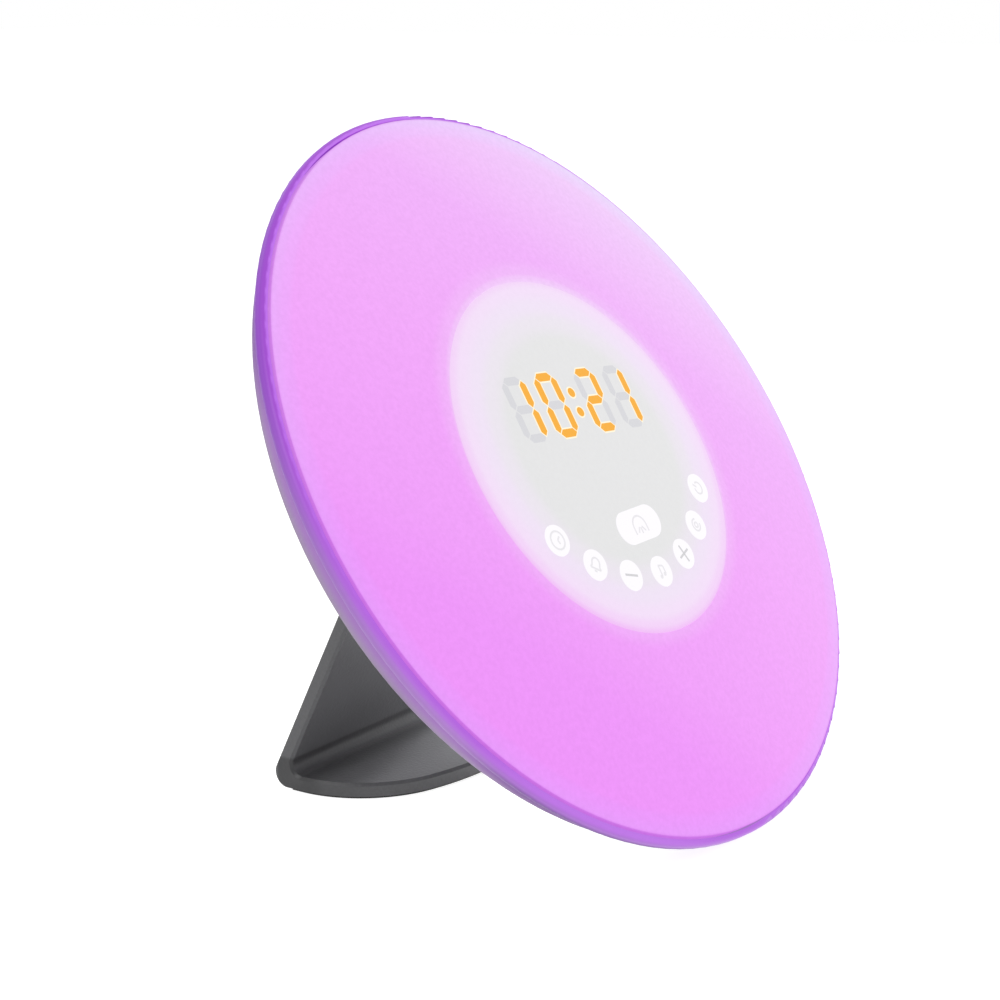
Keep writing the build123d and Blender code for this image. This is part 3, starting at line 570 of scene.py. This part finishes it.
def stroke(points, width=LINE_W):
    """A drawn line as small four-sided pieces, one for each step."""
    pieces = []
    for (x0, v0), (x1, v1) in zip(points, points[1:]):
        length = sqrt((x1 - x0) ** 2 + (v1 - v0) ** 2)
        nx, nv = -(v1 - v0) / length * width / 2, (x1 - x0) / length * width / 2
        pieces.append(
            [(x0 + nx, v0 + nv), (x0 - nx, v0 - nv), (x1 - nx, v1 - nv), (x1 + nx, v1 + nv)]
        )
    return pieces


def arc(radius, start, end, x=0.0, v=0.0, count=16):
    """Points along an arc; angles in degrees."""
    angles = [radians(start + (end - start) * k / count) for k in range(count + 1)]
    return [(x + radius * cos(a), v + radius * sin(a)) for a in angles]


def clock_sign():
    return stroke(arc(2.0, 0, 360)) + stroke([(0, 1.1), (0, 0), (0.9, -0.3)])


def bell_sign():
    left, right = [(-1.5, -0.9), (-1.1, -0.3)], [(1.1, -0.3), (1.5, -0.9), (-1.5, -0.9)]
    return stroke(left + arc(1.1, 180, 0, 0, 0.5) + right) + stroke([(-0.4, -1.45), (0.4, -1.45)])


def note_sign():
    flag = stroke([(-0.5, -1.1), (-0.5, 1.4), (1.0, 1.0), (1.0, -0.8)])
    return flag + [disc(-0.9, -1.1, 0.45), disc(0.6, -0.8, 0.45)]


def plus_sign():
    return stroke([(-2.1, 0), (2.1, 0)], BOLD_W) + stroke([(0, -2.1), (0, 2.1)], BOLD_W)


def lamp_sign():
    """Shade with three rays under it."""
    pieces = stroke([(-2.3, -2.0)] + arc(2.3, 180, 0, 0, -0.4) + [(2.3, -2.0)])
    for angle in (-125, -90, -55):
        c, s = cos(radians(angle)), sin(radians(angle))
        pieces += stroke([(0.8 * c, 0.1 + 0.8 * s), (2.3 * c, 0.1 + 2.2 * s)])
    return pieces


SIGNS = {
    "clock": clock_sign(),
    "alarm": bell_sign(),
    "minus": stroke([(-2.0, 0), (2.0, 0)], BOLD_W),
    "sound": note_sign(),
    "plus": plus_sign(),
    "colour": stroke(arc(1.4, 40, 330)) + stroke(arc(0.6, 0, 360)),
    "power": stroke(arc(1.4, 120, 420)) + stroke([(0, 0.6), (0, 1.9)]),
}
CLEAR = ("minus", "plus")  # the photo shows these two darker

clear_signs, faint_signs = [], []
for index, key in enumerate(KEYS):
    turn = (index - len(KEYS) // 2) * KEY_PITCH
    x0, v0 = MARKS_X + KEY_ARC_R * sin(turn), KEY_ARC_V - KEY_ARC_R * cos(turn)
    signs = clear_signs if key in CLEAR else faint_signs
    signs.extend(placed(SIGNS[key], x0, v0, turn))
faint_signs += placed(lamp_sign(), MARKS_X, LAMP_KEY_V, 0)
marks("key_signs", print_grey, clear_signs, KEY_PROUD + MARK_LIFT)
marks("key_signs_faint", print_faint, faint_signs, KEY_PROUD + MARK_LIFT)

# ---- floor and light ------------------------------------------------------------------------
FLOOR_HALF = 4.0
FLOOR_CORNERS = ((-1, -1), (1, -1), (1, 1), (-1, 1))

floor_mesh = bpy.data.meshes.new("floor")
shape = bmesh.new()
shape.faces.new([shape.verts.new((x * FLOOR_HALF, y * FLOOR_HALF, 0)) for x, y in FLOOR_CORNERS])
shape.to_mesh(floor_mesh)
shape.free()
floor = bpy.data.objects.new("floor", floor_mesh)
bpy.context.scene.collection.objects.link(floor)
floor_paint = Paint("floor", grey(0.35), roughness=0.9, Specular_IOR_Level=0.1)
floor_paint.set("Emission Color", WHITE)
floor_paint.set("Emission Strength", 0.85)
floor_mesh.materials.append(floor_paint.material)

world = bpy.data.worlds.new("room")
bpy.context.scene.world = world
world.use_nodes = True
background = world.node_tree.nodes["Background"]
background.inputs["Color"].default_value = WHITE
background.inputs["Strength"].default_value = 1.0

stand_low, stand_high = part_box("stand_bracket")
STAND_BASE = Vector((0, (stand_low.y + stand_high.y) / 2, stand_low.z))


def soft_light(name, azimuth, elevation, distance, size, power, at=CENTRE):
    """Square lamp that looks at a point."""
    lamp = bpy.data.lights.new(name, "AREA")
    lamp.size = size
    lamp.energy = power
    made = bpy.data.objects.new(name, lamp)
    out = direction(azimuth, elevation)
    made.location = at + distance * out
    made.rotation_euler = out.to_track_quat("Z", "Y").to_euler()
    made.visible_camera = False
    bpy.context.scene.collection.objects.link(made)
    return made


def stand_beam(name, spread, **place):
    """Narrow lamp that lights the stand's base and makes no reflection."""
    made = soft_light(name, at=STAND_BASE, **place)
    made.data.spread = radians(spread)
    made.visible_glossy = False


soft_light("key_light", azimuth=100, elevation=40, distance=1.6, size=1.0, power=8)
soft_light("fill_light", azimuth=10, elevation=30, distance=1.8, size=1.2, power=4)
stand_beam("rear_light", 16, azimuth=-103, elevation=5, distance=0.45, size=0.05, power=0.2)
stand_beam("leg_light", 90, azimuth=-90, elevation=15, distance=0.068, size=0.025, power=0.1)
